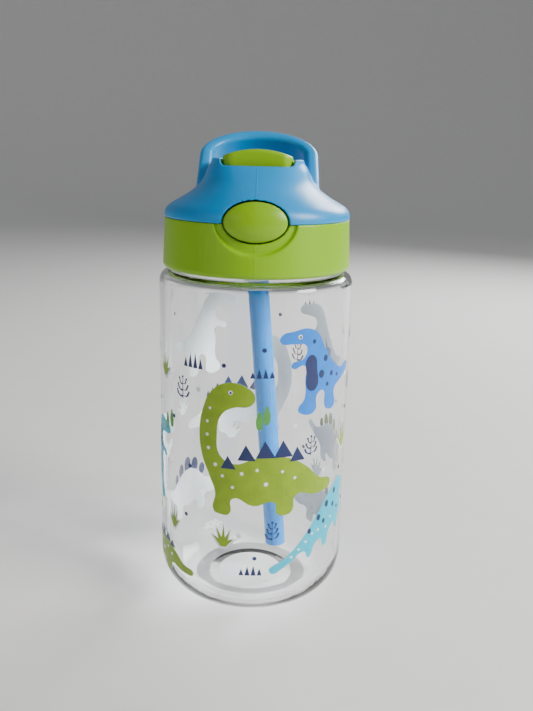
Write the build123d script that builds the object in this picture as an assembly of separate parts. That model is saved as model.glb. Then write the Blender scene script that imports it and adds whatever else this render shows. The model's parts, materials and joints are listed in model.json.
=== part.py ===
"""Kids water bottle with a screw-on lid, a push button and a flip-up straw spout.

Millimetres. +Z is up, the front with its button faces -Y, and the origin is the
centre of the base that the bottle stands on.
"""
from build123d import *
from math import atan2, cos, pi, radians, sin, sqrt
import os

# ---- overall sizes ----
BODY_R = 36.5            # outer radius of the bottle
SHOULDER_Z = 128.5       # flat shoulder of the bottle
BODY_WALL = 1.7
BASE_CORNER_R = 14.0
SHOULDER_R = 4.0
NECK_H = 9.5             # mouth above the shoulder
NECK_IN = 5.9            # body's side to the neck's outside
NECK_WALL = 1.7
BASE_DIMPLE_R = 17.0
BASE_DIMPLE_H = 1.0

# ---- screw thread between bottle and lid, two starts ----
THREAD_LEAD = 8.0
THREAD_STARTS = 2
THREAD_DEPTH = 1.0
THREAD_ROOT_W = 1.9
THREAD_CREST_W = 1.1
THREAD_GAP = 0.45        # radial gap from a crest to the opposite wall
THREAD_UP = 4.2          # shoulder to the start of the bottle's ridges
THREAD_TURNS = 0.5       # length of each thread in turns
THREAD_SINK = 0.25       # how far a thread's foot is rooted in its wall

# ---- lid ring ----
RING_GAP = 1.2           # shoulder to the ring's lower edge
RING_H = 18.3            # lower edge of the ring to the seam
RING_WALL = 2.15         # at the seam
RING_FLARE = 0.9         # how much wider the ring is at its lower edge
GASKET_LAP = 0.5         # gasket past the neck's outside
GASKET_LIP = 0.2         # gasket past the neck's inside
GASKET_T = 1.6
DECK_T = 2.0
AXIAL_GAP = 0.1          # gasket to the parts above and below it
RIB_H = 1.2              # rib that centres the gasket
RIB_T = 0.9

# ---- top cover ----
COVER_WALL = 2.0
BAND_H = 2.0             # upright band above the seam
TOWER_H = 21.0           # seam to the rim of the spout tower
TOWER_X = 16.6           # half width at the rim
TOWER_FRONT = 16.6
TOWER_BACK = 17.2
FRONT_NOTCH_IN = 1.6     # from the opening's side to the notch's side, per side
FRONT_NOTCH_H = 18.6     # rim height inside the front notch
BACK_NOTCH_H = 12.2

# ---- carrying loop ----
LOOP_W = 11.0            # width of the band
LOOP_T = 5.0             # thickness of the band
LOOP_OUT = 3.7           # middle of the band outside the tower's side
LOOP_FOOT = (4.0, 9.0)   # y and height above the seam of its foot
LOOP_BACK = 11.8         # top of the band behind the tower's rear
LOOP_H = 26.3            # top of the band above the seam
LOOP_ARCH = 13.0         # rise of the rounded end, along the loop
LOOP_EDGE_R = 1.9

# ---- push button ----
BUTTON_W = 21.4
BUTTON_H = 13.3
BUTTON_UP = 0.7          # centre above the seam
BUTTON_GAP = 0.55
BUTTON_PROUD = 1.3       # front of the dome beyond the ring
DOME_MORE = (3.5, 2.6)   # dome's half width and height beyond the oval's
DOME_DEEP = 8.0
BUTTON_TILT = 9.0
BUTTON_TRAVEL = 2.5
EAR_T = 1.2
EAR_OUT = 1.9            # each ear beyond the oval
EAR_GAP = 0.6            # ear to the wall in front of it
EAR_TOP = 2.0            # top of the ears above the seam
CROSSBAR = 2.4           # rear bar of the arm's window
SPRING_UP = -1.0         # spring's axis above the seam
DISH_DEPTH = 1.1         # thumb dish in the ring, at the seam
DISH_MORE = (4.8, 4.0)   # dish's half width and height beyond the button's
DISH_SLOPE = 1.5

# ---- latch between button and flap ----
ARM_UP = 9.2             # underside of the arm above the seam
ARM_T = 1.4
STEP_OUT = 6.0           # tower's front forward to the arm's rise
ARM_STEP = 3.2           # underside of the step above the seam
STEP_T = 1.8
ARM_W = 13.2
TAB_W = 8.0
TAB_T = 1.5
TAB_IN = 0.4             # tab's front behind the flap's front
BARB = 0.8
LATCH_GAP = 0.2

# ---- spout flap and its hinge ----
LOBE_IN = 2.1            # opening's side to the lobe's side
FLAP_FRONT_GAP = 0.7     # opening's front to the flap's front
FLAP_GAP = 0.5
FLAP_CROWN = 24.4        # top of the crown above the seam
FLAP_SIDE = 21.9         # top of the lobe at its sides
FLAP_WALL = 1.8
PLATE_UP = 18.9
PLATE_T = 1.8
PIN_IN = 3.2             # opening's rear forward to the pin
PIN_UP = 16.0
PIN_R = 1.0
PIN_GAP = 0.05
PIN_HOLD = 2.2           # pin's length inside each lug
CHEEK_T = 1.7
CHEEK_WALL = 1.5         # around the pin
CHEEK_GAP = 0.4

LUG_IN = 3.3             # opening's side to a lug's inner face
LUG_HALF = 3.8           # half depth of a lug about the pin
LUG_TOP = 19.9
PLATE_BACK = 6.5         # pin back to the rear edge of the plate's wide part
LOBE_BACK = 6.0          # rear end of the crowned lobe
PLATE_FRONT = -5.0       # front edge of the rear plate
FLAP_SKIRT = 1.2         # lobe's walls below the plate
FLAP_CORNER_R = 4.0
FLAP_EDGE_R = 1.2
TAB_BELOW = 1.8          # tab's end below the arm
RIB_HALF = 4.5
RIB_Y0 = -2.5
RIB_Y1 = 1.5
PAD_TOP = 21.4
PAD_T = 1.8
NOTCH_R = 1.6

# ---- springs ----
COIL_OUT = 1.3           # middle of the wire from the pin
COIL_WIRE = 0.35
COIL_TURNS = 4
COIL_PITCH = 0.85
COIL_IN = 0.7            # nozzle's side to the coil's inner end
LEG_LONG = 2.6
LEG_SHORT = 5.0
BUTTON_SPRING_R = 2.2
BUTTON_SPRING_WIRE = 0.3
BUTTON_SPRING_TURNS = 6
POST_BACK = 10.9         # front of the ears back to the spring's post
POST_T = 1.6

# ---- mouthpiece, straw and vent ----
SPOUT_Y = 5.0            # axis of the mouthpiece
PIVOT_UP = 12.0          # where the nozzle bends, above the seam
NOZZLE_R = 4.3
NOZZLE_BORE = 2.4
TIP_BACK = 3.0           # nozzle's end behind the flap's front, folded
NOZZLE_REST = 19.0       # degrees above level when folded
NOZZLE_GAP = 0.3
CHIMNEY_WALL = 1.6
BOOT_OUT = 0.7           # boot's radius beyond the nozzle's
CHIMNEY_H = 9.0
BOOT_WALL = 1.4
LIP_T = 1.2
COLLAR_T = 1.2
COUPLER_GAP = 1.0        # spigot's end to the straw's top
COLLAR_H = 4.0
SPIGOT_R = 4.6
SPIGOT_BORE = 3.2
SPIGOT_LEN = 7.0
STRAW_R = 4.15
STRAW_WALL = 0.8
STRAW_TILT = 4.9         # degrees, towards +X at the bottom
STRAW_CLEAR = 12.5       # straw's end above the base
COUPLER_WALL = 1.4
COUPLER_LEN = 8.0        # each half of the coupler
VENT_X = -15.0
VENT_R = 1.5

# ---- sizes that follow from the ones above ----
NECK_TOP = SHOULDER_Z + NECK_H
RING_BOTTOM = SHOULDER_Z + RING_GAP
SEAM = RING_BOTTOM + RING_H
NECK_R = BODY_R - NECK_IN
MOUTH_R = NECK_R - NECK_WALL
THREAD_R = NECK_R + THREAD_DEPTH
RING_BORE = THREAD_R + THREAD_GAP
RING_TOP_R = RING_BORE + RING_WALL
RING_BOTTOM_R = RING_TOP_R + RING_FLARE
DECK_Z = NECK_TOP + GASKET_T + 2 * AXIAL_GAP
DECK_TOP = DECK_Z + DECK_T
OPEN_X = TOWER_X - COVER_WALL
OPEN_BACK = TOWER_BACK - COVER_WALL
FLAP_FRONT = TOWER_FRONT - COVER_WALL - FLAP_FRONT_GAP
TAB_Y = TAB_IN - FLAP_FRONT
LUG_X = OPEN_X - LUG_IN
PIN_Y = OPEN_BACK - PIN_IN
PIN_LEN = 2 * (LUG_X + PIN_HOLD)
CHEEK_R = PIN_R + CHEEK_WALL
COIL_R = PIN_R + COIL_OUT
COIL_X = NOZZLE_R + COIL_IN
CHIMNEY_BORE = NOZZLE_R + BOOT_OUT
CHIMNEY_R = CHIMNEY_BORE + CHIMNEY_WALL
NOZZLE_LEN = (SPOUT_Y + FLAP_FRONT - TIP_BACK) / cos(radians(NOZZLE_REST))
EAR_W = BUTTON_W + 2 * EAR_OUT
EAR_Y = EAR_GAP - sqrt(RING_BORE ** 2 - (EAR_W / 2) ** 2)
ARM_FRONT = -TOWER_FRONT - STEP_OUT
POST_Y = EAR_Y + POST_BACK
BUTTON_FACE = RING_TOP_R + BUTTON_PROUD
PIN_Z = SEAM + PIN_UP
PIVOT_Z = SEAM + PIVOT_UP
BUTTON_Z = SEAM + BUTTON_UP
THREAD_Z = SHOULDER_Z + THREAD_UP               # where the bottle's ridges start
THREAD_PITCH = THREAD_LEAD / THREAD_STARTS      # ridge to ridge, up the wall


def ring_solid(outer, inner, bottom, top, at=(0, 0)):
    """Upright tube between two heights."""
    place = Pos(at[0], at[1], (bottom + top) / 2)
    return place * (Cylinder(outer, top - bottom) - Cylinder(inner, top - bottom + 1))


def block(x0, x1, y0, y1, z0, z1):
    """Box between two corners."""
    return Pos((x0 + x1) / 2, (y0 + y1) / 2, (z0 + z1) / 2) * Box(x1 - x0, y1 - y0, z1 - z0)


def oval_bar(width, height, y0, y1):
    """Upright oval at the button's place, drawn out along Y."""
    front = Plane(origin=(0, y0, BUTTON_Z), x_dir=(1, 0, 0), z_dir=(0, -1, 0))
    return extrude(front * Ellipse(width / 2, height / 2), -(y1 - y0))


def thread(radius, depth, start_z, sink):
    """Trapezoid ridges on a helix; a negative depth points inwards."""
    ridges = []
    way = 1 if depth > 0 else -1
    foot = radius - way * sink
    path = Helix(THREAD_LEAD, THREAD_LEAD * THREAD_TURNS, radius)
    profile = Plane(path @ 0, x_dir=(1, 0, 0), z_dir=path % 0) * Polygon(
        (foot - radius, -THREAD_ROOT_W / 2),
        (foot - radius, THREAD_ROOT_W / 2),
        (depth, THREAD_CREST_W / 2),
        (depth, -THREAD_CREST_W / 2),
        align=None,
    )
    ridge = sweep(profile, path=path, is_frenet=True)
    for start in range(THREAD_STARTS):
        ridges.append(Pos(0, 0, start_z) * Rot(0, 0, 360 / THREAD_STARTS * start) * ridge)
    return ridges


def bottle_shell():
    """Clear body: straight wall, rounded base with a shallow dimple, threaded neck."""
    inner_r = BODY_R - BODY_WALL
    outside = Polyline(
        (0, BASE_DIMPLE_H), (BASE_DIMPLE_R - 4, BASE_DIMPLE_H), (BASE_DIMPLE_R, 0),
        (BODY_R, 0), (BODY_R, SHOULDER_Z), (NECK_R, SHOULDER_Z), (NECK_R, NECK_TOP),
        (0, NECK_TOP), close=True)
    body = revolve(Plane.XZ * make_face(outside), Axis.Z)
    body = fillet(rim(body, BODY_R, 0), BASE_CORNER_R)
    body = fillet(rim(body, BODY_R, SHOULDER_Z), SHOULDER_R)
    floor_z = BASE_DIMPLE_H + BODY_WALL
    under = SHOULDER_Z - BODY_WALL
    hollow = Pos(0, 0, (floor_z + under) / 2) * Cylinder(inner_r, under - floor_z)
    hollow = fillet(rim(hollow, inner_r, floor_z), BASE_CORNER_R - BODY_WALL)
    hollow = fillet(rim(hollow, inner_r, under), SHOULDER_R - BODY_WALL)
    mouth = Pos(0, 0, (NECK_TOP + under) / 2) * Cylinder(MOUTH_R, NECK_TOP - under + 2)
    body = body - hollow - mouth
    for ridge in thread(NECK_R, THREAD_DEPTH, THREAD_Z, THREAD_SINK):
        body = body + ridge
    return body


def rim(solid, radius, z):
    """Circular edges of one radius at one height."""
    found = []
    for edge in solid.edges().filter_by(GeomType.CIRCLE):
        if abs(edge.radius - radius) < 0.01 and abs(edge.center().Z - z) < 0.01:
            found.append(edge)
    return found


def mouth_gasket():
    """Silicone ring that seals the lid on the bottle's mouth."""
    bottom = NECK_TOP + AXIAL_GAP
    ring = ring_solid(NECK_R + GASKET_LAP, MOUTH_R - GASKET_LIP, bottom, bottom + GASKET_T)
    return fillet(rim(ring, NECK_R + GASKET_LAP, bottom), 0.4)


def thumb_dish():
    """Hollow with sloping sides that the ring has round the button."""
    ends = []
    for y, wider in ((-RING_BOTTOM_R - 1, DISH_SLOPE), (-RING_BORE + 4, -2 * DISH_SLOPE)):
        upright = Plane(origin=(0, y, BUTTON_Z), x_dir=(1, 0, 0), z_dir=(0, -1, 0))
        ends.append(upright * Ellipse(BUTTON_W / 2 + DISH_MORE[0] + wider,
                                      BUTTON_H / 2 + DISH_MORE[1] + wider))
    floor = ring_solid(RING_BOTTOM_R + 2, RING_TOP_R - DISH_DEPTH, RING_BOTTOM - 1, SEAM + 1)
    return loft(ends) & floor


def lid_base():
    """Screw ring with its deck, chimney, straw spigot and spring post."""
    outside = Polyline(
        (0, RING_BOTTOM), (RING_BOTTOM_R, RING_BOTTOM), (RING_TOP_R, SEAM), (0, SEAM), close=True)
    base = revolve(Plane.XZ * make_face(outside), Axis.Z)
    base = fillet(rim(base, RING_BOTTOM_R, RING_BOTTOM), 1.6)
    below = DECK_Z - RING_BOTTOM
    base -= Pos(0, 0, RING_BOTTOM + below / 2 - 0.5) * Cylinder(RING_BORE, below + 1)
    above = SEAM - DECK_TOP
    base -= Pos(0, 0, DECK_TOP + above / 2 + 0.5) * Cylinder(RING_BORE, above + 1)
    base -= thumb_dish()
    base -= oval_bar(BUTTON_W + 2 * BUTTON_GAP, BUTTON_H + 2 * BUTTON_GAP, -RING_BOTTOM_R - 2, -25)
    rib_r = MOUTH_R - GASKET_LIP - AXIAL_GAP
    base += ring_solid(rib_r, rib_r - RIB_T, DECK_Z - RIB_H, DECK_Z)
    here = (0, SPOUT_Y)
    base += ring_solid(CHIMNEY_R, CHIMNEY_BORE, DECK_TOP, DECK_TOP + CHIMNEY_H, here)
    base += ring_solid(SPIGOT_R, SPIGOT_BORE, DECK_Z - SPIGOT_LEN, DECK_Z, here)
    base -= Pos(0, SPOUT_Y, DECK_Z) * Cylinder(SPIGOT_BORE, 2 * DECK_T + 1)
    base += block(-5, 5, POST_Y, POST_Y + POST_T, DECK_TOP, SEAM + 2.6)
    base -= Pos(VENT_X, SPOUT_Y, DECK_Z) * Cylinder(VENT_R, 3 * DECK_T)
    for ridge in thread(RING_BORE, -THREAD_DEPTH, THREAD_Z - THREAD_PITCH / 2, THREAD_SINK):
        base += ridge
    return base


def cover_section(height, half_x, front, back, power):
    """Closed outline of the cover at one height: a rounded square when power is over 2."""
    points = []
    for step in range(24):
        angle = 2 * pi * step / 24
        c = cos(angle)
        s = sin(angle)
        reach = back if s > 0 else front
        x = half_x * abs(c) ** (2 / power) * (1 if c > 0 else -1)
        y = reach * abs(s) ** (2 / power) * (1 if s > 0 else -1)
        points.append((x, y, SEAM + height))
    return make_face(Spline(points, periodic=True))


def cover_form(inset):
    """Solid under the cover's skin, drawn in by an inset."""
    levels = (
        # height above the seam, then how far out from the tower's rim to the ring: side,
        # front and back; then the outline's squareness
        (0.0, 1.0, 1.0, 1.0, 2.0),
        (BAND_H, 1.0, 1.0, 1.0, 2.0),
        (0.19 * TOWER_H, 0.926, 0.966, 0.924, 2.0),
        (0.295 * TOWER_H, 0.727, 0.886, 0.729, 2.0),
        (0.41 * TOWER_H, 0.50, 0.756, 0.506, 2.05),
        (0.543 * TOWER_H, 0.295, 0.545, 0.329, 2.15),
        (0.714 * TOWER_H, 0.159, 0.273, 0.153, 2.4),
        (0.876 * TOWER_H, 0.068, 0.068, 0.059, 2.7),
        (TOWER_H, 0.0, 0.0, 0.0, 3.0),
    )
    sections = []
    for height, side_out, front_out, back_out, power in levels:
        half_x = TOWER_X + (RING_TOP_R - TOWER_X) * side_out - inset
        front = TOWER_FRONT + (RING_TOP_R - TOWER_FRONT) * front_out - inset
        back = TOWER_BACK + (RING_TOP_R - TOWER_BACK) * back_out - inset
        sections.append(cover_section(height, half_x, front, back, power))
    return loft(sections)


def loop_outline(half, straight, arch):
    """Face with two straight sides and an elliptic end."""
    start = -3.0
    corners = ((-half, start), (half, start), (half, straight), (-half, straight))
    sides = make_face(Polyline(*corners, close=True))
    return sides + Pos(0, straight) * Ellipse(half, arch)


def carrying_loop():
    """Band that leaves the shoulders, leans back and closes in a rounded end."""
    middle_x = TOWER_X + LOOP_OUT
    rise_y = TOWER_BACK + LOOP_BACK - LOOP_FOOT[0]
    rise_z = LOOP_H - LOOP_FOOT[1]
    reach = sqrt(rise_y ** 2 + rise_z ** 2)
    lean = atan2(rise_y, rise_z)
    straight = reach - LOOP_ARCH
    band = loop_outline(middle_x + LOOP_T / 2, straight, LOOP_ARCH + LOOP_T / 2)
    gap = loop_outline(middle_x - LOOP_T / 2, straight, LOOP_ARCH - LOOP_T / 2)
    flat = Plane(origin=(0, LOOP_FOOT[0], SEAM + LOOP_FOOT[1]),
                 x_dir=(1, 0, 0), z_dir=(0, -cos(lean), sin(lean)))
    loop = extrude(flat * (band - gap), LOOP_W / 2, both=True)
    return fillet(loop.edges().filter_by(GeomType.LINE, reverse=True), LOOP_EDGE_R)


def notch(width, bottom, toward):
    """Block that lowers the rim in front (-1) or behind (1), with rounded lower corners."""
    far = toward * (TOWER_BACK + 12)
    cut = block(-width / 2, width / 2, min(0, far), max(0, far), SEAM + bottom, SEAM + TOWER_H + 6)
    low = cut.edges().filter_by(Axis.Y).group_by(Axis.Z)[0]
    return fillet(low, NOTCH_R)


def top_cover():
    """Blue cover: upright band, swept shoulder, spout tower and the carrying loop."""
    tower = cover_form(0) - notch(2 * LUG_X + 0.2, BACK_NOTCH_H, 1)
    cover = tower + carrying_loop() - cover_form(COVER_WALL)
    for side in (-1, 1):
        lug = block(min(side * LUG_X, side * TOWER_X), max(side * LUG_X, side * TOWER_X),
                    PIN_Y - LUG_HALF, PIN_Y + LUG_HALF, PIN_Z - LUG_HALF, SEAM + LUG_TOP)
        cover += lug & cover_form(COVER_WALL / 2)
    cover -= notch(2 * (OPEN_X - FRONT_NOTCH_IN), FRONT_NOTCH_H, -1)
    cover -= oval_bar(BUTTON_W + 2 * BUTTON_GAP, BUTTON_H + 2 * BUTTON_GAP, -RING_BOTTOM_R - 2, -20)
    cover -= Pos(0, PIN_Y, PIN_Z) * Rot(0, 90, 0) * Cylinder(PIN_R, PIN_LEN + 0.2)
    return cover


def hinge_pin():
    """Steel pin of the flap, pressed into the cover's lugs."""
    pin = Pos(0, PIN_Y, PIN_Z) * Rot(0, 90, 0) * Cylinder(PIN_R, PIN_LEN)
    return chamfer(pin.edges().filter_by(GeomType.CIRCLE), 0.2)


def flap_lobe(inset, bottom, top_drop):
    """Crowned front lobe of the flap, drawn in by a wall."""
    half = OPEN_X - LOBE_IN - inset
    side_z = SEAM + FLAP_SIDE - top_drop
    crown_z = SEAM + FLAP_CROWN - top_drop
    outline = Polyline((-half, side_z), (-half, bottom), (half, bottom), (half, side_z))
    outline += ThreePointArc((-half, side_z), (0, crown_z), (half, side_z))
    front = -FLAP_FRONT + inset
    section = Plane.XZ * make_face(outline)
    lobe = Pos(0, front, 0) * extrude(section, -(LOBE_BACK - inset - front))
    upright = lobe.edges().filter_by(Axis.Z).group_by(Axis.Y)[0]
    return fillet(upright, FLAP_CORNER_R - inset)


def spout_flap():
    """Green flap: crowned lobe, rear plate, hinge cheeks, latch tab and pinch rib."""
    plate_z = SEAM + PLATE_UP
    lobe = flap_lobe(0, plate_z - FLAP_SKIRT, 0)
    crown = lobe.faces().sort_by(Axis.Z)[-1]
    lobe = fillet(crown.edges(), FLAP_EDGE_R)
    hollow = flap_lobe(FLAP_WALL, plate_z - FLAP_SKIRT - 1, FLAP_WALL)
    plate = cover_section(PLATE_UP, OPEN_X - FLAP_GAP, FLAP_FRONT, OPEN_BACK - FLAP_GAP, 3.0)
    plate = extrude(plate, PLATE_T, dir=(0, 0, 1))
    plate &= block(-OPEN_X, OPEN_X, PLATE_FRONT, OPEN_BACK, plate_z - 1, plate_z + 5)
    tail_y = PIN_Y - PLATE_BACK
    for side in (-1, 1):
        outer = side * (OPEN_X + 1)
        inner = side * (LUG_X - FLAP_GAP)
        plate -= block(min(inner, outer), max(inner, outer), tail_y, OPEN_BACK + 1, plate_z - 1, plate_z + 5)
    flap = lobe + plate - hollow
    for side in (-1, 1):
        middle = side * (LUG_X - CHEEK_GAP - CHEEK_T / 2)
        cheek = Pos(middle, PIN_Y, PIN_Z) * Rot(0, 90, 0) * Cylinder(CHEEK_R, CHEEK_T)
        web = block(middle - CHEEK_T / 2, middle + CHEEK_T / 2, PIN_Y - CHEEK_R, PIN_Y + CHEEK_R,
                    PIN_Z, plate_z + 0.5)
        flap += cheek + web
    flap -= Pos(0, PIN_Y, PIN_Z) * Rot(0, 90, 0) * Cylinder(PIN_R + PIN_GAP, PIN_LEN)
    flap += latch_tab()
    flap += block(-RIB_HALF, RIB_HALF, RIB_Y0, RIB_Y1, SEAM + PAD_TOP, SEAM + FLAP_CROWN - 1)
    return flap


def latch_tab():
    """Tab that hangs through the arm's window, with its barb under the crossbar."""
    low = SEAM + ARM_UP - TAB_BELOW
    back = TAB_Y + TAB_T
    tab = block(-TAB_W / 2, TAB_W / 2, TAB_Y, back, low, SEAM + PLATE_UP + 1.5)
    barb_top = SEAM + ARM_UP - LATCH_GAP
    barb = Plane.YZ * make_face(Polyline(
        (back - 0.1, barb_top), (back + BARB, barb_top), (back - 0.1, low), close=True))
    return tab + extrude(barb, TAB_W / 2, both=True)


def flap_pinch_pad():
    """Silicone pad under the flap's rib that squeezes the folded nozzle shut."""
    top = SEAM + PAD_TOP
    pad = block(-RIB_HALF, RIB_HALF, RIB_Y0, RIB_Y1, top - PAD_T, top)
    return fillet(pad.edges().filter_by(Axis.X).group_by(Axis.Z)[0], 0.8)


def coil(radius, wire, pitch, turns):
    """Round wire wound on a helix from the origin up +Z."""
    path = Helix(pitch, pitch * turns, radius)
    section = Plane(path @ 0, z_dir=path % 0) * Circle(wire)
    return sweep(section, path=path, is_frenet=True)


def torsion_spring(side):
    """Coil around the pin beside the nozzle, its legs on the flap and on the cover."""
    length = COIL_PITCH * COIL_TURNS
    start = side * (COIL_X + length / 2) - length / 2
    turned = Pos(start, PIN_Y, PIN_Z) * Rot(0, 90, 0)
    spring = turned * coil(COIL_R, COIL_WIRE, COIL_PITCH, COIL_TURNS)
    # the helix starts and ends below the pin, and both legs leave there
    for x, y in ((start, LEG_LONG), (start + length, -LEG_SHORT)):
        bend = Pos(x, PIN_Y, PIN_Z - COIL_R)
        spring += bend * Sphere(COIL_WIRE + 0.05)
        spring += bend * Pos(0, y / 2, 0) * Rot(90, 0, 0) * Cylinder(COIL_WIRE - 0.03, abs(y))
    return spring


def push_button():
    """Oval domed button with its ears and the latch arm."""
    dome = scale(Sphere(1), by=(BUTTON_W / 2 + DOME_MORE[0], DOME_DEEP, BUTTON_H / 2 + DOME_MORE[1]))
    centre_y = -BUTTON_FACE + DOME_DEEP
    dome = Pos(0, centre_y, BUTTON_Z) * Rot(-BUTTON_TILT, 0, 0) * dome
    cap = oval_bar(BUTTON_W, BUTTON_H, -BUTTON_FACE - 2, EAR_Y + EAR_T) & dome
    ear_low = DECK_TOP + 0.3
    ears = block(-EAR_W / 2, EAR_W / 2, EAR_Y, EAR_Y + EAR_T, ear_low, SEAM + EAR_TOP)
    arm_z = SEAM + ARM_UP
    cross_front = TAB_Y + TAB_T + BARB + LATCH_GAP
    arm = block(-ARM_W / 2, ARM_W / 2, ARM_FRONT, cross_front + CROSSBAR, arm_z, arm_z + ARM_T)
    step_z = SEAM + ARM_STEP
    arm += block(-ARM_W / 2, ARM_W / 2, EAR_Y, ARM_FRONT + ARM_T, step_z, step_z + STEP_T)
    arm += block(-ARM_W / 2, ARM_W / 2, ARM_FRONT, ARM_FRONT + ARM_T, step_z, arm_z + ARM_T)
    window = block(-TAB_W / 2 - 0.5, TAB_W / 2 + 0.5, TAB_Y - BUTTON_TRAVEL - 0.6, cross_front,
                   arm_z - 1, arm_z + ARM_T + 1)
    return cap + ears + arm - window


def button_spring():
    """Compression spring between the button and the post on the deck."""
    start = EAR_Y + EAR_T + AXIAL_GAP + BUTTON_SPRING_WIRE
    length = POST_Y - AXIAL_GAP - BUTTON_SPRING_WIRE - start
    wound = coil(BUTTON_SPRING_R, BUTTON_SPRING_WIRE, length / BUTTON_SPRING_TURNS, BUTTON_SPRING_TURNS)
    return Pos(0, start, SEAM + SPRING_UP) * Rot(-90, 0, 0) * wound


def mouthpiece_base():
    """Silicone boot: a tube in the chimney and a soft neck up to the bend."""
    here = (0, SPOUT_Y)
    top = DECK_TOP + CHIMNEY_H
    tube = ring_solid(CHIMNEY_BORE, CHIMNEY_BORE - BOOT_WALL, DECK_TOP, top, here)
    lip = ring_solid(CHIMNEY_R, CHIMNEY_BORE - BOOT_WALL, top, top + LIP_T, here)
    neck = ring_solid(NOZZLE_R, NOZZLE_BORE, top, PIVOT_Z - NOZZLE_R - NOZZLE_GAP, here)
    return tube + lip + neck


def mouthpiece_collar():
    """Ring that clamps the boot's lip down on the chimney."""
    top = DECK_TOP + CHIMNEY_H + LIP_T
    skirt = ring_solid(CHIMNEY_R + COLLAR_T, CHIMNEY_R, top - COLLAR_H, top, (0, SPOUT_Y))
    cap = ring_solid(CHIMNEY_R + COLLAR_T, NOZZLE_R + NOZZLE_GAP, top, top + 1.0, (0, SPOUT_Y))
    return skirt + cap


def mouthpiece_nozzle():
    """Drinking nozzle, folded forwards about its bend."""
    tip = Cylinder(NOZZLE_R, NOZZLE_LEN, align=(Align.CENTER, Align.CENTER, Align.MIN))
    tip += Sphere(NOZZLE_R)
    tip = fillet(tip.edges().group_by(Axis.Z)[-1], 1.5)
    bore = Pos(0, 0, NOZZLE_R) * Cylinder(
        NOZZLE_BORE, NOZZLE_LEN, align=(Align.CENTER, Align.CENTER, Align.MIN))
    fold = Rot(90 - NOZZLE_REST, 0, 0)
    return Pos(0, SPOUT_Y, PIVOT_Z) * fold * (tip - bore)


def straw_place():
    """Where the straw's top centre is, with the straw's own direction as Z."""
    return Pos(0, SPOUT_Y, DECK_Z - SPIGOT_LEN - COUPLER_GAP) * Rot(0, -STRAW_TILT, 0)


def straw_coupler():
    """Silicone sleeve from the lid's spigot to the straw, bent by the straw's tilt."""
    joint_z = DECK_Z - SPIGOT_LEN - COUPLER_GAP / 2
    wide = SPIGOT_R + COUPLER_WALL
    upper = Pos(0, SPOUT_Y, joint_z) * Cylinder(
        wide, SPIGOT_LEN - COUPLER_GAP, align=(Align.CENTER, Align.CENTER, Align.MIN))
    lower = straw_place() * Cylinder(
        STRAW_R + COUPLER_WALL, COUPLER_LEN, align=(Align.CENTER, Align.CENTER, Align.MAX))
    sleeve = upper + lower + Pos(0, SPOUT_Y, joint_z) * Sphere(STRAW_R + COUPLER_WALL)
    sleeve -= Pos(0, SPOUT_Y, joint_z - COUPLER_GAP / 2) * Cylinder(
        SPIGOT_R, SPIGOT_LEN + 5, align=(Align.CENTER, Align.CENTER, Align.MIN))
    sleeve -= straw_place() * Cylinder(
        STRAW_R, COUPLER_LEN + 5, align=(Align.CENTER, Align.CENTER, Align.MAX))
    sleeve -= Pos(0, SPOUT_Y, joint_z) * Sphere(SPIGOT_BORE)
    return sleeve


def straw():
    """Straight drinking straw, cut square above the base."""
    top_z = DECK_Z - SPIGOT_LEN - COUPLER_GAP
    length = (top_z - STRAW_CLEAR) / cos(radians(STRAW_TILT))
    tube = Cylinder(STRAW_R, length) - Cylinder(STRAW_R - STRAW_WALL, length + 1)
    return straw_place() * Pos(0, 0, -length / 2 - 0.4) * tube


def vent_valve():
    """Silicone umbrella valve that lets air back into the bottle."""
    stem = Cylinder(VENT_R, DECK_T)
    head = Cylinder(VENT_R + 2, 0.8)
    button = Cylinder(VENT_R + 0.6, 1.0)
    middle = DECK_Z + DECK_T / 2
    valve = stem + Pos(0, 0, -DECK_T / 2 - 0.4) * head + Pos(0, 0, DECK_T / 2 + 0.5) * button
    return Pos(VENT_X, SPOUT_Y, middle) * valve


def all_nodes():
    """Every piece of the bottle by its name."""
    return {
        "bottle_shell": bottle_shell(),
        "mouth_gasket": mouth_gasket(),
        "lid_base": lid_base(),
        "top_cover": top_cover(),
        "hinge_pin": hinge_pin(),
        "spout_flap": spout_flap(),
        "flap_pinch_pad": flap_pinch_pad(),
        "torsion_spring_left": torsion_spring(-1),
        "torsion_spring_right": torsion_spring(1),
        "push_button": push_button(),
        "button_spring": button_spring(),
        "mouthpiece_base": mouthpiece_base(),
        "mouthpiece_collar": mouthpiece_collar(),
        "mouthpiece_nozzle": mouthpiece_nozzle(),
        "straw_coupler": straw_coupler(),
        "straw": straw(),
        "vent_valve": vent_valve(),
    }


if __name__ == "__main__":
    os.makedirs("parts", exist_ok=True)
    for name, solid in all_nodes().items():
        export_step(solid, f"parts/{name}.step")
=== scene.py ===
import json
from math import cos, pi, radians, sin

import bpy
from mathutils import Matrix, Vector

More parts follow.
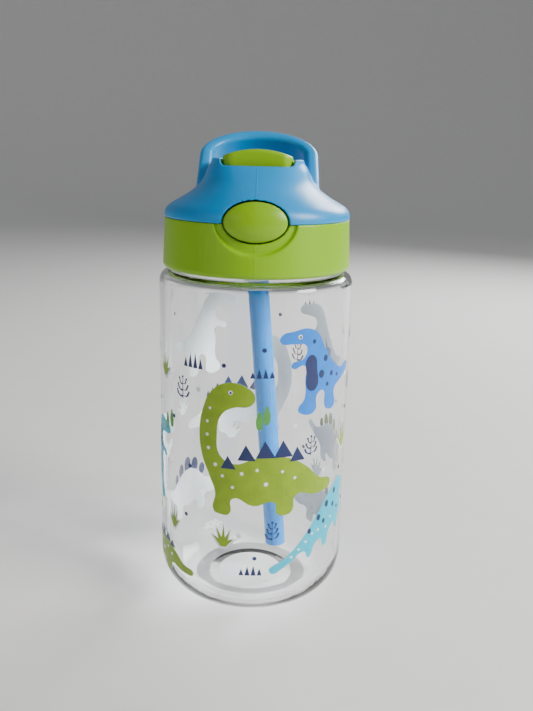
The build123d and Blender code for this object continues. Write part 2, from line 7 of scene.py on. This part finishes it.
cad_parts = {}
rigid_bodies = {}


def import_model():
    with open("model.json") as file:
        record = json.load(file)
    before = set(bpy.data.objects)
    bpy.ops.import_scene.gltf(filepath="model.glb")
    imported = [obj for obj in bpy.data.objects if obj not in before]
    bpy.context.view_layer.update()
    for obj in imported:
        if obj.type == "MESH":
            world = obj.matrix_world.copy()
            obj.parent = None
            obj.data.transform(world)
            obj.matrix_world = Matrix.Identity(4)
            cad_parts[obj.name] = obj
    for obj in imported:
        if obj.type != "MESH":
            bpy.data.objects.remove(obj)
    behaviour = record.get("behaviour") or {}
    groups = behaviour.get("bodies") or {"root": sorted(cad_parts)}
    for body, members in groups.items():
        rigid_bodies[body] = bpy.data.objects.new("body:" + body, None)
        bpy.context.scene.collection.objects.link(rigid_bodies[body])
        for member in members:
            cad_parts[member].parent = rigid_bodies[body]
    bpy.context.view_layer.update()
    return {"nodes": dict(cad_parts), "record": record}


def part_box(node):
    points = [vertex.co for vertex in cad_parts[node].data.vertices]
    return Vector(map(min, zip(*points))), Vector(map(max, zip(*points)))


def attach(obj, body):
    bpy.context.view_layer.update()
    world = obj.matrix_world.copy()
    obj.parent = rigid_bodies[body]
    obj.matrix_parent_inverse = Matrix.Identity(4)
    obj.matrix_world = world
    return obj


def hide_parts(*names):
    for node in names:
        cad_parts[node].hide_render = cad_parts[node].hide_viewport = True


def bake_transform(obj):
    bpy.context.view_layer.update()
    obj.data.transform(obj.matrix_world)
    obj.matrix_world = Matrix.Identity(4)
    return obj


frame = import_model()

MM = 0.001

# ---- places taken from the frame ----
BODY_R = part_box("bottle_shell")[1].x


# ======================= operators =======================

def pick(*objs):
    """Select these objects alone, the first one active."""
    bpy.ops.object.select_all(action="DESELECT")
    for obj in objs:
        obj.select_set(True)
    bpy.context.view_layer.objects.active = objs[0]


def modify(obj, kind, **settings):
    """Add one modifier and apply it."""
    pick(obj)
    bpy.ops.object.modifier_add(type=kind)
    modifier = obj.modifiers[-1]
    for key, value in settings.items():
        setattr(modifier, key, value)
    bpy.ops.object.modifier_apply(modifier=modifier.name)


def place_in_mesh(obj):
    """Put the object's place into its mesh, so that it sits at the origin."""
    pick(obj)
    bpy.ops.object.transform_apply(location=True, rotation=True, scale=True)


def outward(obj):
    """Merge doubles and make every face point outwards."""
    pick(obj)
    bpy.ops.object.mode_set(mode="EDIT")
    bpy.ops.mesh.select_all(action="SELECT")
    bpy.ops.mesh.remove_doubles(threshold=1e-6)
    bpy.ops.mesh.normals_make_consistent(inside=False)
    bpy.ops.object.mode_set(mode="OBJECT")


def smooth(obj, angle=40):
    """Smooth shading up to an angle between faces."""
    pick(obj)
    bpy.ops.object.shade_smooth_by_angle(angle=radians(angle))


def join(objs, name):
    """One object out of several."""
    pick(*objs)
    if len(objs) > 1:
        bpy.ops.object.join()
    objs[0].name = name
    objs[0].data.name = name
    return objs[0]


def dress(obj, material, body):
    """Give a piece its material and its body."""
    obj.data.materials.clear()
    obj.data.materials.append(material)
    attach(obj, body)
    return obj


def node_body(node):
    """Body that a CAD node belongs to."""
    for body, members in frame["record"]["behaviour"]["bodies"].items():
        if node in members:
            return body


# ======================= shader maths =======================

class Sum:
    """A socket that Python's operators work on, each adding one Math node."""

    def __init__(self, paint, socket):
        self.paint = paint
        self.socket = socket

    def math(self, operation, *others, clamp=False):
        values = {0: self.socket}
        for index, other in enumerate(others):
            values[index + 1] = other.socket if isinstance(other, Sum) else other
        return self.paint.node("ShaderNodeMath", {"operation": operation, "use_clamp": clamp}, values)

    def __add__(self, other):
        return self.math("ADD", other)

    def __mul__(self, other):
        return self.math("MULTIPLY", other)

    def absolute(self):
        return self.math("ABSOLUTE")

    def below(self, edge, soft):
        """1 well under the edge, 0 well over it."""
        return self.paint.node("ShaderNodeMapRange", {"interpolation_type": "SMOOTHSTEP"}, {
            0: self.socket, 1: edge - soft, 2: edge + soft, 3: 1.0, 4: 0.0})


class Paint:
    """One material, with its nodes added through one method."""

    def __init__(self, name):
        self.material = bpy.data.materials.new(name)
        self.material.use_nodes = True
        self.tree = self.material.node_tree
        self.tree.nodes.clear()
        self.out = self.tree.nodes.new("ShaderNodeOutputMaterial")

    def node(self, kind, settings=None, values=None, output=0):
        """Add a node, set it up, fill its inputs with values or links, and wrap an output."""
        made = self.tree.nodes.new(kind)
        for key, value in (settings or {}).items():
            setattr(made, key, value)
        for key, value in (values or {}).items():
            if isinstance(value, Sum):
                value = value.socket
            if isinstance(value, bpy.types.NodeSocket):
                self.tree.links.new(value, made.inputs[key])
            else:
                made.inputs[key].default_value = value
        return Sum(self, made.outputs[output])

    def place(self, scale=(1, 1, 1)):
        """Position on the object, stretched by a scale."""
        where = self.node("ShaderNodeTexCoord", output="Object")
        return self.node("ShaderNodeMapping", None, {"Vector": where, "Scale": scale})

    def axis(self, name):
        where = self.node("ShaderNodeTexCoord", output="Object")
        return self.node("ShaderNodeSeparateXYZ", None, {0: where}, output=name)

    def noise(self, scale, detail=3.0, stretch=(1, 1, 1), rough=0.5):
        return self.node("ShaderNodeTexNoise", None, {
            "Vector": self.place(stretch), "Scale": scale, "Detail": detail, "Roughness": rough})

    def mix(self, amount, first, second):
        """Blend two colours."""
        made = self.tree.nodes.new("ShaderNodeMix")
        made.data_type = "RGBA"
        self.fill(made.inputs[0], amount)
        self.fill(made.inputs[6], first)
        self.fill(made.inputs[7], second)
        return Sum(self, made.outputs[2])

    def fill(self, socket, value):
        if isinstance(value, Sum):
            self.tree.links.new(value.socket, socket)
        else:
            socket.default_value = value

    def bump(self, height, strength, distance):
        return self.node("ShaderNodeBump", None, {
            "Height": height, "Strength": strength, "Distance": distance})

    def surface(self, **values):
        """Principled shader; an input's name is written with underscores."""
        named = {key.replace("_", " "): value for key, value in values.items()}
        return self.node("ShaderNodeBsdfPrincipled", None, named)

    def finish(self, shader):
        self.tree.links.new(shader.socket, self.out.inputs["Surface"])
        return self.material


def rgb(red, green, blue):
    return (red, green, blue, 1.0)


# ======================= materials =======================

def moulded_plastic(name, colour, deep, mould_line=False):
    """Satin injection-moulded polypropylene: fine texture, faint flow, soft glow."""
    paint = Paint(name)
    flow = paint.noise(28.0, 3.0, (1, 1, 0.35))
    tone = paint.mix(flow.below(0.52, 0.22), rgb(*colour), rgb(*deep))
    grain = paint.noise(2600.0, 2.0)
    cloud = paint.noise(160.0, 4.0)
    height = grain * 0.6 + cloud * 0.4
    if mould_line:
        side = paint.axis("X").absolute()
        front = paint.axis("Y").below(0.0, 0.0001)
        height = height + side.below(0.0002, 0.00012) * front * 6.0
    rough = cloud * 0.10 + grain * 0.05 + 0.27
    return paint.finish(paint.surface(
        Base_Color=tone, Roughness=rough, IOR=1.49, Specular_IOR_Level=0.4, Subsurface_Weight=0.15,
        Subsurface_Radius=(0.6, 0.6, 0.6), Subsurface_Scale=0.0025,
        Normal=paint.bump(height, 0.22, 0.00006)))


def clear_copolyester():
    """Clear moulded wall: glassy, slightly wavy, with fine wear near the base."""
    paint = Paint("clear_copolyester")
    wave = paint.noise(22.0, 2.0, (1, 1, 0.4))
    scuff = paint.noise(900.0, 2.0, (1, 1, 0.2))
    low = paint.axis("Z").below(0.012, 0.012)
    rough = scuff.below(0.42, 0.06) * low * 0.10 + 0.012
    glass = paint.surface(
        Base_Color=rgb(0.985, 0.995, 1.0), Roughness=rough, IOR=1.45, Transmission_Weight=1.0,
        Normal=paint.bump(wave, 0.12, 0.0004))
    return paint.finish(lamp_clear(paint, glass, (0.97, 0.98, 0.99)))


def lamp_clear(paint, shader, tint):
    """Let lamps through a clear wall, so that what stands behind it is lit."""
    lamp = paint.node("ShaderNodeLightPath", output="Is Shadow Ray")
    through = paint.node("ShaderNodeBsdfTransparent", None, {"Color": rgb(*tint)})
    return paint.node("ShaderNodeMixShader", None, {0: lamp, 1: shader, 2: through})


def straw_plastic():
    """Extruded blue tube: glossy, with fine draw lines along it."""
    paint = Paint("straw_plastic")
    lines = paint.noise(1500.0, 2.0, (1, 1, 0.02))
    cloud = paint.noise(60.0, 3.0)
    tone = paint.mix(cloud.below(0.5, 0.3), rgb(0.0, 0.29, 0.86), rgb(0.0, 0.24, 0.76))
    return paint.finish(paint.surface(
        Base_Color=tone, Roughness=lines * 0.12 + 0.2, IOR=1.49, Subsurface_Weight=0.3,
        Subsurface_Radius=(0.3, 0.6, 1.0), Subsurface_Scale=0.003,
        Normal=paint.bump(lines, 0.15, 0.00004)))


def frosted_silicone():
    """Milky soft rubber with a matt, faintly dusty skin."""
    paint = Paint("frosted_silicone")
    dust = paint.noise(420.0, 4.0)
    tone = paint.mix(dust.below(0.5, 0.2), rgb(0.80, 0.83, 0.84), rgb(0.72, 0.76, 0.78))
    return paint.finish(paint.surface(
        Base_Color=tone, Roughness=dust * 0.18 + 0.42, IOR=1.41, Subsurface_Weight=0.6,
        Subsurface_Radius=(1.0, 1.0, 1.0), Subsurface_Scale=0.003,
        Normal=paint.bump(dust, 0.2, 0.00005)))


def drawn_steel():
    """Drawn stainless wire with fine lines along it."""
    paint = Paint("drawn_steel")
    lines = paint.noise(3000.0, 2.0, (0.1, 1, 1))
    return paint.finish(paint.surface(
        Base_Color=rgb(0.62, 0.62, 0.63), Metallic=1.0, Roughness=lines * 0.2 + 0.18,
        Normal=paint.bump(lines, 0.2, 0.00003)))


def screen_ink(name, colour, shade):
    """Screen-printed ink: nearly flat, with faint mesh texture and thin spots."""
    paint = Paint(name)
    cover = paint.noise(240.0, 4.0)
    tone = paint.mix(cover.below(0.5, 0.22), rgb(*colour), rgb(*shade))
    mesh = paint.noise(3800.0, 1.0)
    return paint.finish(paint.surface(
        Base_Color=tone, Roughness=cover * 0.12 + 0.33, IOR=1.48,
        Normal=paint.bump(mesh, 0.15, 0.00002)))


GREEN = moulded_plastic("lime_polypropylene", (0.27, 0.53, 0.0), (0.225, 0.47, 0.0), True)
BLUE = moulded_plastic("sky_polypropylene", (0.0, 0.31, 0.70), (0.0, 0.265, 0.62), True)
PLAIN_GREEN = moulded_plastic("lime_polypropylene_plain", (0.26, 0.49, 0.0), (0.215, 0.43, 0.0))
CLEAR = clear_copolyester()
STRAW = straw_plastic()
SILICONE = frosted_silicone()
STEEL = drawn_steel()
WHITE_INK = screen_ink("white_ink", (0.88, 0.93, 0.93), (0.82, 0.89, 0.90))
LIME_INK = screen_ink("lime_ink", (0.27, 0.42, 0.004), (0.22, 0.36, 0.003))
MOSS_INK = screen_ink("moss_ink", (0.14, 0.26, 0.03), (0.11, 0.22, 0.025))
BLUE_INK = screen_ink("blue_ink", (0.001, 0.235, 0.84), (0.001, 0.20, 0.75))
NAVY_INK = screen_ink("navy_ink", (0.015, 0.03, 0.13), (0.012, 0.024, 0.10))
TEAL_INK = screen_ink("turquoise_ink", (0.005, 0.60, 0.80), (0.004, 0.52, 0.74))
LEAF_INK = screen_ink("leaf_ink", (0.10, 0.36, 0.05), (0.07, 0.29, 0.04))


# ======================= carried-over pieces =======================

COARSE_VOXEL = 0.36 * MM    # large mouldings, whose edges are rounder
SMALL_VOXEL = 0.24 * MM     # button
FLAP_VOXEL = 0.22 * MM
FINE_VOXEL = 0.25 * MM      # mouthpiece

def carry(node, material):
    """Keep a CAD node's shape and give it its finish."""
    obj = frame["nodes"][node]
    obj.data.materials.clear()
    obj.data.materials.append(material)


def soften(node, name, voxel, rounds, material, share):
    """Copy of a CAD node with the soft edges and blended corners of a moulding."""
    source = frame["nodes"][node]
    obj = source.copy()
    obj.data = source.data.copy()
    obj.name = name
    bpy.context.collection.objects.link(obj)
    outward(obj)
    modify(obj, "REMESH", mode="VOXEL", voxel_size=voxel)
    modify(obj, "SMOOTH", factor=0.5, iterations=rounds)
    modify(obj, "DECIMATE", ratio=share)
    smooth(obj, 60)
    dress(obj, material, node_body(node))
    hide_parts(node)
    return obj


def mouthpiece():
    """Boot and nozzle as one soft moulding, with a cylinder filling the joint between them."""
    copies = []
    for node in ("mouthpiece_base", "mouthpiece_nozzle"):
        obj = frame["nodes"][node].copy()
        obj.data = obj.data.copy()
        bpy.context.collection.objects.link(obj)
        pick(obj)
        bpy.ops.object.parent_clear(type="CLEAR_KEEP_TRANSFORM")
        outward(obj)
        copies.append(obj)
    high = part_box("mouthpiece_nozzle")[1]
    boot_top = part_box("mouthpiece_base")[1].z
    half = high.x
    bend_y = high.y - half
    bend_z = boot_top + half
    bpy.ops.object.select_all(action="DESELECT")
    bpy.ops.mesh.primitive_cylinder_add(vertices=48, radius=half, depth=half * 1.4,
                                        location=(0, bend_y, bend_z - half * 0.5))
    copies.append(bpy.context.object)
    place_in_mesh(copies[-1])
    obj = join(copies, "mouthpiece_moulding")
    modify(obj, "REMESH", mode="VOXEL", voxel_size=FINE_VOXEL)
    modify(obj, "SMOOTH", factor=0.5, iterations=6)
    modify(obj, "DECIMATE", ratio=0.6)
    smooth(obj, 60)
    obj.data.materials.clear()
    obj.data.materials.append(SILICONE)
    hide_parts("mouthpiece_base", "mouthpiece_nozzle")
    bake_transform(obj)


carry("bottle_shell", CLEAR)
carry("straw", STRAW)
mouthpiece()
for silicone_node in ("mouth_gasket", "flap_pinch_pad", "straw_coupler", "vent_valve"):
    carry(silicone_node, SILICONE)
for steel_node in ("hinge_pin", "torsion_spring_left", "torsion_spring_right", "button_spring"):
    carry(steel_node, STEEL)
carry("mouthpiece_collar", PLAIN_GREEN)
soften("top_cover", "cover_moulding", COARSE_VOXEL, 6, BLUE, 0.5)
soften("lid_base", "ring_moulding", COARSE_VOXEL, 5, GREEN, 0.5)
soften("spout_flap", "flap_moulding", FLAP_VOXEL, 6, PLAIN_GREEN, 0.6)
soften("push_button", "button_moulding", SMALL_VOXEL, 6, PLAIN_GREEN, 0.6)


# ======================= printed pattern =======================
# An outline's points are in its own unit box, x to the right and y up. A place is
# (arc round the body from the front, height above the base, width, height) in mm; a
# negative width turns the shape the other way.

PRINT_LIFT = {"under": 0.040, "colour": 0.095, "detail": 0.150, "top": 0.205}
INK_HALF = 0.022        # half a film's thickness
STRIP = 2.0             # width of the flat strips that a film is cut into before it is wrapped

RUNNER = ((0.15, 0.98), (0.01, 0.93), (0.0, 0.86), (0.14, 0.83), (0.27, 0.80), (0.25, 0.66), (0.12, 0.60),
          (0.13, 0.55), (0.26, 0.57), (0.27, 0.40), (0.27, 0.18), (0.20, 0.05), (0.24, 0.0), (0.40, 0.01),
          (0.42, 0.20), (0.50, 0.24), (0.53, 0.06), (0.56, 0.0), (0.69, 0.01), (0.68, 0.22), (0.80, 0.30),
          (0.99, 0.46), (0.80, 0.45), (0.62, 0.58), (0.50, 0.76), (0.40, 0.94), (0.28, 1.0))
RUNNER_BELLY = ((0.29, 0.66), (0.28, 0.46), (0.31, 0.28), (0.40, 0.28), (0.41, 0.50), (0.36, 0.68))
GRAZER = ((0.09, 0.93), (0.03, 0.80), (0.0, 0.62), (0.02, 0.44), (0.08, 0.28), (0.12, 0.16), (0.11, 0.02),
          (0.15, 0.0), (0.22, 0.01), (0.24, 0.13), (0.38, 0.08), (0.52, 0.10), (0.54, 0.01), (0.62, 0.0),
          (0.65, 0.03), (0.67, 0.14), (0.84, 0.11), (0.99, 0.16), (0.86, 0.24), (0.74, 0.36), (0.58, 0.45),
          (0.40, 0.45), (0.24, 0.40), (0.15, 0.46), (0.13, 0.60), (0.16, 0.76), (0.24, 0.82), (0.35, 0.84),
          (0.38, 0.90), (0.33, 0.97), (0.20, 1.0))
GRAZER_BACK = ((0.16, 0.36, 0.10), (0.27, 0.43, 0.12), (0.39, 0.45, 0.13), (0.51, 0.45, 0.13),
               (0.62, 0.41, 0.11))
PLATED = ((0.02, 0.42), (0.0, 0.30), (0.08, 0.24), (0.20, 0.22), (0.22, 0.02), (0.25, 0.0), (0.34, 0.01),
          (0.36, 0.16), (0.50, 0.13), (0.60, 0.16), (0.61, 0.01), (0.70, 0.0), (0.73, 0.02), (0.76, 0.24),
          (0.90, 0.40), (1.0, 0.62), (0.86, 0.54), (0.72, 0.62), (0.55, 0.72), (0.36, 0.68), (0.20, 0.50),
          (0.10, 0.48))
DIVER = ((0.0, 0.0), (0.16, 0.17), (0.34, 0.38), (0.50, 0.62), (0.66, 0.84), (0.82, 0.98), (0.96, 0.99),
         (1.0, 0.86), (0.95, 0.72), (0.99, 0.56), (0.93, 0.44), (0.88, 0.30), (0.82, 0.42), (0.72, 0.34),
         (0.64, 0.16), (0.58, 0.29), (0.50, 0.25), (0.42, 0.10), (0.37, 0.20), (0.18, 0.07))
PLATE_ROW = ((0.26, 0.66, 0.10), (0.38, 0.76, 0.13), (0.51, 0.80, 0.14), (0.64, 0.75, 0.12),
             (0.75, 0.66, 0.09))
LEAF = ((0.5, 0.0), (0.15, 0.35), (0.3, 0.8), (0.5, 1.0), (0.7, 0.8), (0.85, 0.35))

TUFT = ((0.38, 0.0), (0.0, 0.52), (0.30, 0.34), (0.20, 0.88), (0.43, 0.44), (0.52, 1.0), (0.58, 0.42),
        (0.80, 0.84), (0.70, 0.30), (1.0, 0.46), (0.62, 0.0))

flat_shapes = {}


def lay(ink, lift, outline, place, straight=False):
    """Note one flat shape to print, with its points in mm round the body and up it."""
    across, up, width, height = place
    start = across if width > 0 else across - width
    points = [(start + x * width, up + y * height) for x, y in outline]
    flat_shapes.setdefault((ink, lift), []).append((points, straight))


def oval(ink, lift, across, up, half_w, half_h):
    """A round spot."""
    ring = [(0.5 + 0.5 * cos(k * pi / 4), 0.5 + 0.5 * sin(k * pi / 4)) for k in range(8)]
    lay(ink, lift, ring, (across - half_w, up - half_h, 2 * half_w, 2 * half_h))


def both(ink, outline, place):
    """A coloured shape on its white underprint."""
    lay("white", "under", outline, place)
    lay(ink, "colour", outline, place)


def inside(place, x, y):
    """A point of a shape's unit box, in mm."""
    across, up, width, height = place
    start = across if width > 0 else across - width
    return start + x * width, up + y * height


def eye(place, x, y, size):
    """An eye that looks a little down."""
    across, up = inside(place, x, y)
    oval("white", "detail", across, up, size, size)
    oval("navy", "top", across + 0.1 * size, up - 0.1 * size, 0.5 * size, 0.55 * size)


def runner(place, ink, dark):
    """A two-legged beast that stands upright."""
    both(ink, RUNNER, place)
    lay(dark, "detail", RUNNER_BELLY, place)
    eye(place, 0.20, 0.91, 0.8)
    for x, y, size in ((0.52, 0.62, 1.2), (0.47, 0.44, 1.5), (0.62, 0.42, 1.0), (0.56, 0.30, 0.8),
                       (0.36, 0.84, 0.8), (0.72, 0.38, 0.7)):
        across, up = inside(place, x, y)
        oval(dark, "detail", across, up, 0.8 * size, size)


def grazer(place, ink, dark):
    """A long-necked beast on four legs."""
    both(ink, GRAZER, place)
    width, height = place[2:]
    for x, y, size in GRAZER_BACK:
        lay(dark, "detail", ((0.0, 0.0), (1.0, 0.0), (0.45, 1.0)),
            (*inside(place, x, y), width * size, height * size), True)
    eye(place, 0.22, 0.93, 0.8)
    for x, y, size in ((0.08, 0.80, 0.5), (0.06, 0.70, 0.55), (0.06, 0.60, 0.6), (0.07, 0.50, 0.65),
                       (0.12, 0.38, 0.7), (0.17, 0.30, 0.6), (0.30, 0.33, 0.7), (0.40, 0.36, 0.6),
                       (0.46, 0.25, 0.8), (0.57, 0.34, 0.6), (0.66, 0.28, 0.6), (0.24, 0.22, 0.6)):
        spot_x, spot_y = inside(place, x, y)
        oval("white", "detail", spot_x, spot_y, size, size)


def plated(place, ink, dark):
    """A low beast with a row of plates on its back."""
    both(ink, PLATED, place)
    width, height = place[2:]
    for x, y, size in PLATE_ROW:
        spot_x, spot_y = inside(place, x, y)
        oval(dark, "detail", spot_x, spot_y, abs(width) * size / 2.4, height * size / 1.1)
    eye(place, 0.08, 0.38, 0.8)
    for x, y in ((0.26, 0.36), (0.36, 0.48), (0.44, 0.30), (0.53, 0.52), (0.60, 0.34), (0.70, 0.46),
                 (0.80, 0.46)):
        across, up = inside(place, x, y)
        oval("white", "detail", across, up, 0.8, 0.7)


def diver(place, ink, dark):
    """A beast that climbs to the right, its tail low."""
    both(ink, DIVER, place)
    for x, y, size in ((0.42, 0.46, 1.1), (0.54, 0.60, 1.3), (0.66, 0.74, 1.4), (0.80, 0.86, 1.2),
                       (0.62, 0.52, 1.0), (0.78, 0.68, 1.1), (0.88, 0.60, 0.8)):
        across, up = inside(place, x, y)
        oval(dark, "detail", across, up, 0.75 * size, size)
    for x, y in ((0.22, 0.17), (0.30, 0.25), (0.38, 0.33), (0.46, 0.41), (0.54, 0.43), (0.66, 0.42),
                 (0.74, 0.52)):
        across, up = inside(place, x, y)
        oval("white", "detail", across, up, 0.55, 0.55)


def tuft(ink, across, up, width, height):
    """A tuft of pointed blades that spread from one root, on a larger white underprint."""
    rim = 0.12
    lay("white", "under", TUFT, (across - rim * width, up - rim * height,
                                 width * (1 + 2 * rim), height * (1 + 2 * rim)), True)
    lay(ink, "colour", TUFT, (across, up, width, height), True)


def sprig(ink, across, up, width, height):
    """A stem with paired twigs, a berry at each end."""
    stem = ((0.47, 0.0), (0.53, 0.0), (0.52, 0.92), (0.48, 0.92))
    lay(ink, "colour", stem, (across, up, width, height), True)
    middle = across + width / 2
    oval(ink, "detail", middle, up + height * 0.97, 0.45, 0.45)
    for step, reach in enumerate((0.48, 0.40, 0.28)):
        base = up + height * (0.08 + 0.27 * step)
        for side in (-1, 1):
            outline = ((0.0, 0.0), (0.6, 0.12), (0.95, 0.9), (0.85, 1.0), (0.5, 0.32), (0.0, 0.18))
            left = middle if side > 0 else middle - width * reach
            lay(ink, "detail", outline, (left, base, side * width * reach, height * 0.24))
            oval(ink, "colour", middle + side * width * reach * 0.92, base + height * 0.26, 0.42, 0.42)


def peaks(ink, across, up, width, height):
    """Four small triangles in a row, the middle ones taller."""
    quarter = width / 4
    for step, tall in enumerate((0.65, 0.95, 1.0, 0.7)):
        lay(ink, "colour", ((0.08, 0.0), (0.92, 0.0), (0.5, 1.0)),
            (across + step * quarter, up, quarter, height * tall), True)


def ink_piece(ink, lift, material):
    """Cut the noted shapes of one ink out of a thin film and wrap it round the body."""
    name = f"print_{ink}_{lift}"
    sheet = bpy.data.curves.new(name, "CURVE")
    sheet.dimensions = "2D"
    sheet.fill_mode = "BOTH"
    sheet.resolution_u = 5
    sheet.extrude = INK_HALF * MM
    for points, straight in flat_shapes[(ink, lift)]:
        spline = sheet.splines.new("BEZIER")
        spline.bezier_points.add(len(points) - 1)
        for knot, (across, up) in zip(spline.bezier_points, points):
            knot.co = (across * MM, up * MM, 0)
            knot.handle_left_type = knot.handle_right_type = "VECTOR" if straight else "AUTO"
        spline.use_cyclic_u = True
    obj = bpy.data.objects.new(name, sheet)
    bpy.context.collection.objects.link(obj)
    obj.rotation_euler.x = pi / 2
    pick(obj)
    bpy.ops.object.convert(target="MESH")
    obj.location.y = -PRINT_LIFT[lift] * MM
    place_in_mesh(obj)
    outward(obj)
    low = min(vertex.co.x for vertex in obj.data.vertices)
    high = max(vertex.co.x for vertex in obj.data.vertices)
    bpy.ops.object.mode_set(mode="EDIT")
    for strip in range(1, int((high - low) / (STRIP * MM)) + 1):
        bpy.ops.mesh.select_all(action="SELECT")
        bpy.ops.mesh.bisect(plane_co=(low + strip * STRIP * MM, 0, 0), plane_no=(1, 0, 0))
    bpy.ops.object.mode_set(mode="OBJECT")
    modify(obj, "SIMPLE_DEFORM", deform_method="BEND", deform_axis="Z", angle=(high - low) / BODY_R)
    obj.location.y = -BODY_R
    place_in_mesh(obj)
    outward(obj)
    obj.data.materials.clear()
    obj.data.materials.append(material)
    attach(obj, "bottle")


runner((9.5, 82.0, 36.5, 31.0), "blue", "navy")
grazer((-19.5, 44.0, 54.5, 50.0), "lime", "navy")
diver((7.6, 21.0, 38.4, 30.0), "turquoise", "navy")
runner((-105.0, 79.0, 34.0, 35.0), "lime", "moss")
grazer((97.5, 50.0, 52.0, 45.0), "turquoise", "navy")
plated((-98.0, 16.0, 36.0, 29.0), "blue", "navy")
plated((55.0, 44.0, 32.0, 25.0), "lime", "moss")
runner((-66.0, 40.0, -30.0, 34.0), "turquoise", "navy")
plated((60.0, 12.0, -34.0, 26.0), "turquoise", "navy")
grazer((-62.0, 12.0, 40.0, 26.0), "lime", "navy")
runner((62.0, 78.0, -32.0, 33.0), "blue", "navy")
for across, up, width, height in ((-27, 97.5, 9, 5.5), (-1, 96, 9, 3.6), (-4, 20, 9, 4.2), (-66, 84, 9, 5),
                                  (52, 104, 9, 5), (84, 108, 9, 4.5), (-100, 68, 9, 4)):
    peaks("navy", across, up, width, height)
for across, up, width, height in ((-44, 91, 8.5, 9), (-14, 31, 8.5, 8.5), (-37, 32, 7, 9), (39.5, 63, 9, 10),
                                  (72, 91, 8, 8), (-80, 64, 7, 8), (77, 36, 8, 8), (-60, 96, 8, 8),
                                  (49, 12, 8, 8), (-108, 48, 8, 8)):
    tuft("lime", across, up, width, height)
for across, up, width, height in ((-31, 85, 7, 8.5), (20, 65.5, 6, 7.5), (5.6, 34, 5.4, 7.5), (-50, 60, 6, 9),
                                  (92, 84, 6, 9), (-56, 44, 6, 8)):
    sprig("navy", across, up, width, height)
for across, up in ((1, 77), (3.6, 79), (-40, 70), (-36.5, 72), (50, 84), (-94, 60)):
    lay("leaf", "colour", LEAF, (across, up, 3.6, 7.0))
for across, up in ((-33, 77), (-10, 100), (4, 106), (-24, 60), (-26, 40), (42, 55), (47, 78), (-48, 80),
                   (-52, 100), (2, 27), (48, 40), (66, 74), (-70, 108), (90, 46), (104, 104)):
    oval("navy", "colour", across, up, 0.8, 0.8)
for across, up in ((-20, 90), (-38, 58), (16, 78), (30, 58), (-4, 36), (44, 92), (-56, 72), (58, 66)):
    oval("white", "colour", across, up, 0.9, 0.9)
INKS = {"white": WHITE_INK, "lime": LIME_INK, "moss": MOSS_INK, "blue": BLUE_INK, "navy": NAVY_INK,
        "turquoise": TEAL_INK, "leaf": LEAF_INK}
for ink, lift in list(flat_shapes):
    ink_piece(ink, lift, INKS[ink])


# ======================= floor, light and camera =======================

FLOOR_R = 1.6           # flat part of the floor
SWEEP_R = 1.2           # curve that it rises in all round
SWEEP_STEPS = 12
AIR_COLOUR = (0.86, 0.90, 0.95, 1.0)
AIR_STRENGTH = 0.26
LOOK_AT = (0, 0, 0.09)
CAMERA_AT = (0.00468, -0.2859, 0.1707)
CAMERA_DOWN = 0.2601    # radians below level
CAMERA_ROLL = 0.0238
LENS = 38.3


def studio():
    """Plain pale floor that curves up all round, with soft lamps."""
    bpy.ops.object.select_all(action="DESELECT")
    bpy.ops.mesh.primitive_circle_add(vertices=96, radius=FLOOR_R, fill_type="NGON")
    floor = bpy.context.object
    floor.name = "studio_floor"
    bpy.ops.object.mode_set(mode="EDIT")
    bpy.ops.mesh.select_mode(type="EDGE")
    bpy.ops.mesh.select_all(action="SELECT")
    bpy.ops.mesh.region_to_loop()
    radius = FLOOR_R
    height = 0.0
    for step in range(1, SWEEP_STEPS + 1):
        turn = pi / 2 * step / SWEEP_STEPS
        new_radius = FLOOR_R + SWEEP_R * sin(turn)
        new_height = SWEEP_R * (1 - cos(turn))
        bpy.ops.mesh.extrude_region_move(TRANSFORM_OT_translate={"value": (0, 0, new_height - height)})
        bpy.ops.transform.resize(value=(new_radius / radius, new_radius / radius, 1))
        radius = new_radius
        height = new_height
    bpy.ops.object.mode_set(mode="OBJECT")
    bpy.ops.object.shade_smooth()
    paint = Paint("studio_paper")
    fibre = paint.noise(60.0, 4.0)
    tone = paint.mix(fibre.below(0.5, 0.3), rgb(0.74, 0.73, 0.72), rgb(0.72, 0.71, 0.70))
    floor.data.materials.append(paint.finish(paint.surface(Base_Color=tone, Roughness=0.85)))
    world = bpy.data.worlds.new("studio_air")
    bpy.context.scene.world = world
    world.use_nodes = True
    air = world.node_tree.nodes["Background"]
    air.inputs["Color"].default_value = AIR_COLOUR
    air.inputs["Strength"].default_value = AIR_STRENGTH
    lamp("key_lamp", (0.80, -0.35, 0.60), 0.40, 15.5, (1.0, 0.98, 0.94))
    lamp("fill_lamp", (-0.8, -0.75, 0.45), 0.7, 1.2, (0.92, 0.96, 1.0))
    lamp("rim_lamp", (0.45, 0.7, 0.6), 0.4, 9.0, (1.0, 1.0, 1.0))


def lamp(name, at, size, watts, colour):
    """Soft square lamp that looks at the bottle."""
    bpy.ops.object.light_add(type="AREA", location=at)
    obj = bpy.context.object
    obj.name = name
    obj.data.size = size
    obj.data.energy = watts
    obj.data.color = colour
    toward = Vector(LOOK_AT) - Vector(at)
    obj.rotation_euler = toward.to_track_quat("-Z", "Y").to_euler()


def camera():
    """Camera a little above the lid, looking down on the bottle."""
    data = bpy.data.cameras.new("camera")
    data.sensor_width = 36.0
    data.lens = LENS
    data.clip_start = 0.01
    obj = bpy.data.objects.new("camera", data)
    bpy.context.collection.objects.link(obj)
    tilt = Matrix.Rotation(pi / 2 - CAMERA_DOWN, 4, "X")
    roll = Matrix.Rotation(CAMERA_ROLL, 4, "Z")
    obj.matrix_world = Matrix.Translation(CAMERA_AT) @ tilt @ roll
    bpy.context.scene.camera = obj


studio()
camera()
